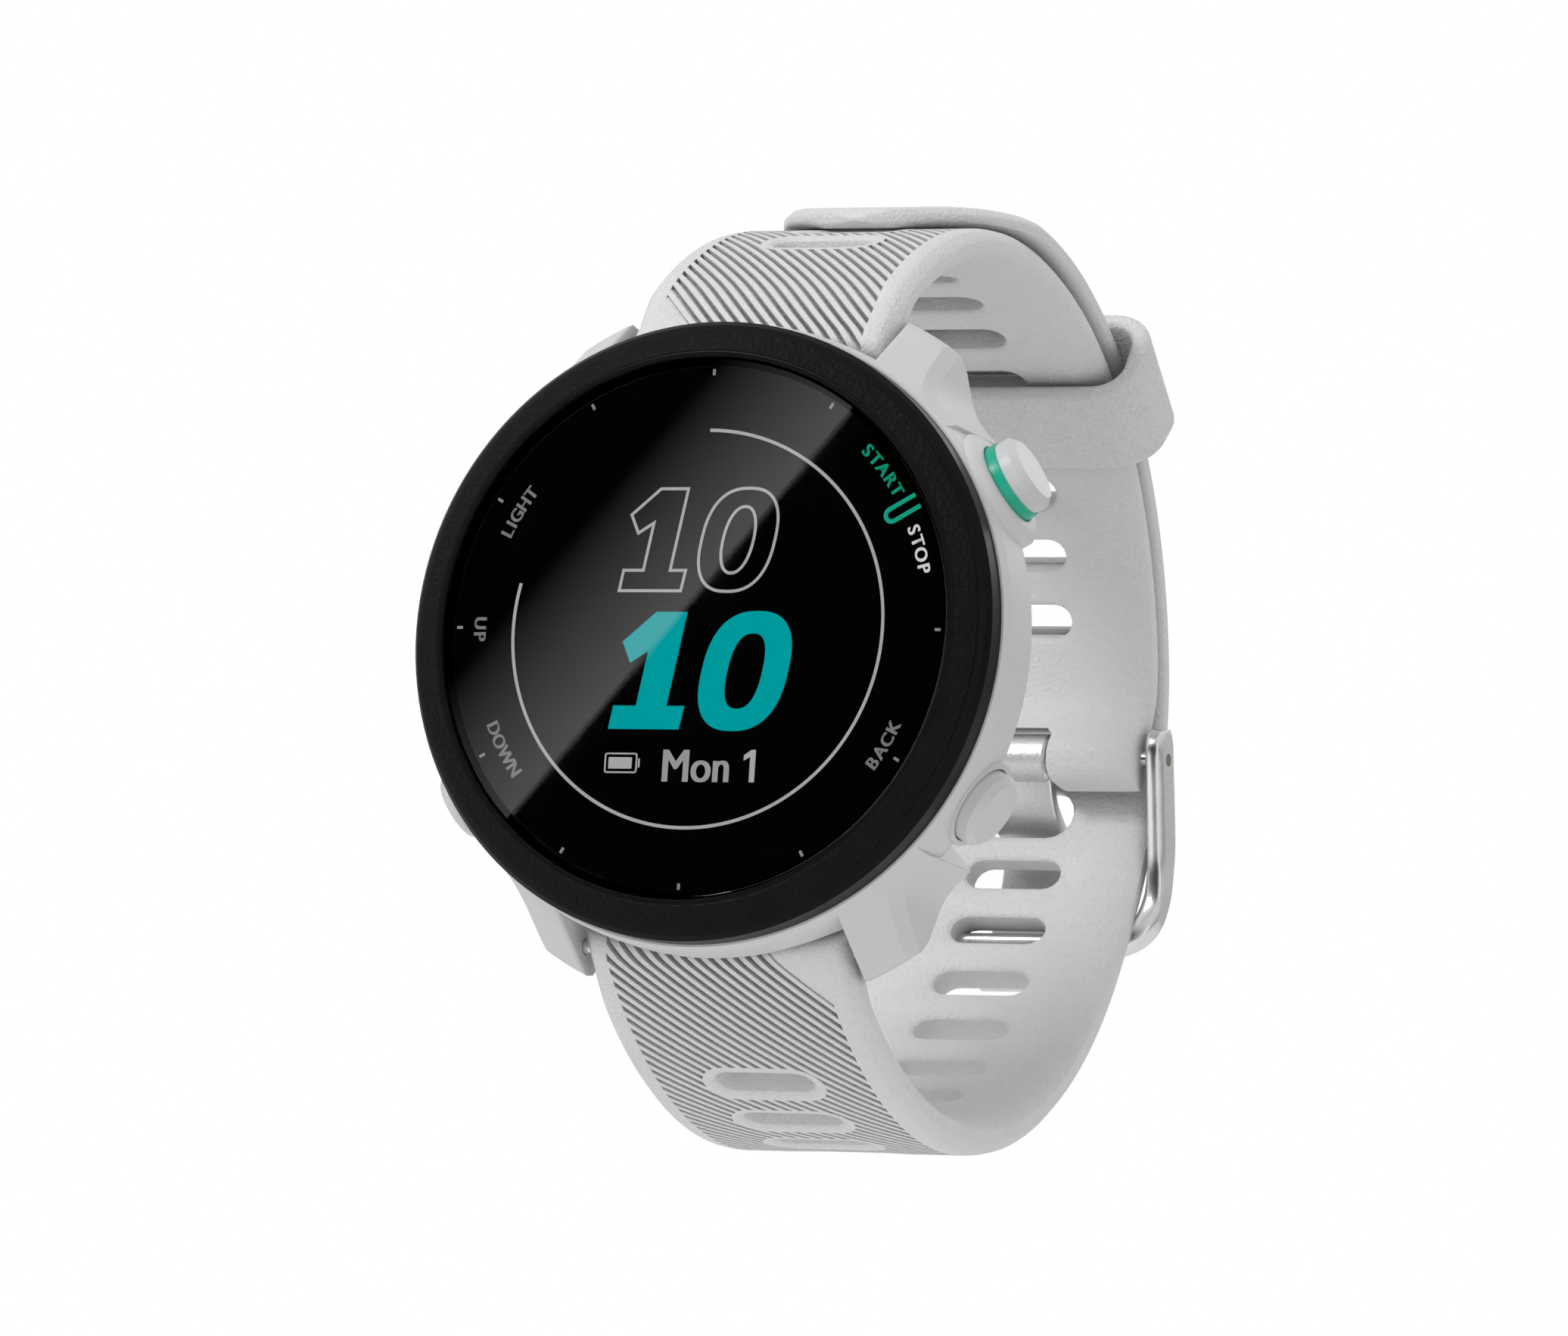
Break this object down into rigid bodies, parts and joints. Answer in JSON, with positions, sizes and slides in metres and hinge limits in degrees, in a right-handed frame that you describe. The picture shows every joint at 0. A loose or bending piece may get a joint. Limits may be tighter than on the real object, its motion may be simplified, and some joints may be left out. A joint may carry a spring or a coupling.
{
  "type": "gps running watch",
  "caption": "Round sports wristwatch with push buttons round its housing, a sensor back and a closed silicone strap with tang buckle and keeper.",
  "frame": {"origin": "centre of the flat sensor window on the back of the housing", "axes": "+X to 3 o'clock, +Z to 12 o'clock, +Y out of the back towards the wrist; the dial faces -Y"},
  "size_m": [0.0437, 0.0638, 0.0648],
  "materials": {
    "case_polymer": "pale grey fibre-reinforced polymer, fine satin",
    "bezel_polymer": "black polymer with a fine leather-like texture and a smooth outer chamfer",
    "lens_glass": "strengthened glass with a dark printed border",
    "display": "memory-in-pixel colour panel behind the lens",
    "guide": "clear moulded light guide",
    "adhesive": "black foam tape",
    "frame_polymer": "black moulded chassis",
    "board": "green printed circuit laminate",
    "tinned_steel": "tinned sheet",
    "cell": "foil pouch",
    "cover_polymer": "dark grey polymer, fine satin",
    "seal": "black silicone seal",
    "stainless": "stainless steel",
    "sensor_glass": "dark optical polymer",
    "led": "green and infrared emitters",
    "gold": "gold plated",
    "green_ring": "green anodised look, moulded",
    "button_polymer": "pale grey moulded cap, semi gloss",
    "silicone": "light grey silicone with a fine grain",
    "buckle_steel": "bead-blasted stainless steel with polished edges"
  },
  "bodies": {
    "case": {"case_body": "case_polymer", "bezel": "bezel_polymer", "lens": "lens_glass", "lens_adhesive": "adhesive", "display_panel": "display", "display_light_guide": "guide", "gps_antenna": "stainless", "inner_frame": "frame_polymer", "main_board": "board", "board_shield": "tinned_steel", "battery": "cell", "vibration_motor": "stainless", "piezo_buzzer": "gold", "back_cover": "cover_polymer", "back_gasket": "seal", "back_screws": "stainless", "sensor_window": "sensor_glass", "sensor_board": "board", "sensor_leds": "led", "charging_contacts": "gold", "start_button_ring": "green_ring", "button_seals": "seal", "button_switches": "stainless", "bar_tube_upper": "stainless", "bar_fixed_tip_upper": "stainless", "bar_spring_upper": "stainless", "bar_tube_lower": "stainless", "bar_fixed_tip_lower": "stainless", "bar_spring_lower": "stainless"},
    "button_start_set": {"button_start": "button_polymer", "button_clip_start": "stainless"},
    "button_back_set": {"button_back": "button_polymer", "button_clip_back": "stainless"},
    "button_light_set": {"button_light": "button_polymer", "button_clip_light": "stainless"},
    "button_up_set": {"button_up": "button_polymer", "button_clip_up": "stainless"},
    "button_down_set": {"button_down": "button_polymer", "button_clip_down": "stainless"},
    "release_upper": {"bar_release_upper": "stainless"},
    "release_lower": {"bar_release_lower": "stainless"},
    "strap_loop": {"strap_upper": "silicone", "strap_lower": "silicone", "buckle_pin": "stainless"},
    "keeper": {"keeper_loop": "silicone"},
    "buckle": {"buckle_frame": "buckle_steel"},
    "tongue": {"buckle_tongue": "buckle_steel"}
  },
  "joints": [
    {"name": "press_start", "type": "slide", "parent": "case", "child": "button_start_set", "axis": [-0.866, 0, -0.5], "range_m": [0, 0.0004], "stiffness_N_per_m": 500},
    {"name": "press_back", "type": "slide", "parent": "case", "child": "button_back_set", "axis": [-0.866, 0, 0.5], "range_m": [0, 0.0004], "stiffness_N_per_m": 500},
    {"name": "press_light", "type": "slide", "parent": "case", "child": "button_light_set", "axis": [0.866, 0, -0.5], "range_m": [0, 0.0004], "stiffness_N_per_m": 500},
    {"name": "press_up", "type": "slide", "parent": "case", "child": "button_up_set", "axis": [1, 0, 0], "range_m": [0, 0.0004], "stiffness_N_per_m": 500},
    {"name": "press_down", "type": "slide", "parent": "case", "child": "button_down_set", "axis": [0.866, 0, 0.5], "range_m": [0, 0.0004], "stiffness_N_per_m": 500},
    {"name": "quick_release_upper", "type": "slide", "parent": "case", "child": "release_upper", "axis": [-1, 0, 0], "range_m": [0, 0.0013], "stiffness_N_per_m": 400, "deforming": ["bar_spring_upper"]},
    {"name": "quick_release_lower", "type": "slide", "parent": "case", "child": "release_lower", "axis": [-1, 0, 0], "range_m": [0, 0.0013], "stiffness_N_per_m": 400, "deforming": ["bar_spring_lower"]},
    {"name": "strap_sway", "type": "hinge", "parent": "case", "child": "strap_loop", "pos_m": [0, -0.0028, 0], "axis": [1, 0, 0], "range_deg": [-6, 6], "stiffness_Nm_per_rad": 1, "deforming": ["strap_upper", "strap_lower"]},
    {"name": "keeper_slide", "type": "hinge", "parent": "strap_loop", "child": "keeper", "pos_m": [0, 0.0184, 0.0005], "axis": [1, 0, 0], "range_deg": [-25, 35]},
    {"name": "buckle_fold", "type": "hinge", "parent": "strap_loop", "child": "buckle", "pos_m": [0, 0.0467, 0.00025], "axis": [1, 0, 0], "range_deg": [0, 8]},
    {"name": "tongue_lift", "type": "hinge", "parent": "buckle", "child": "tongue", "pos_m": [0, 0.0467, 0.00025], "axis": [1, 0, 0], "range_deg": [0, 6]}
  ]
}
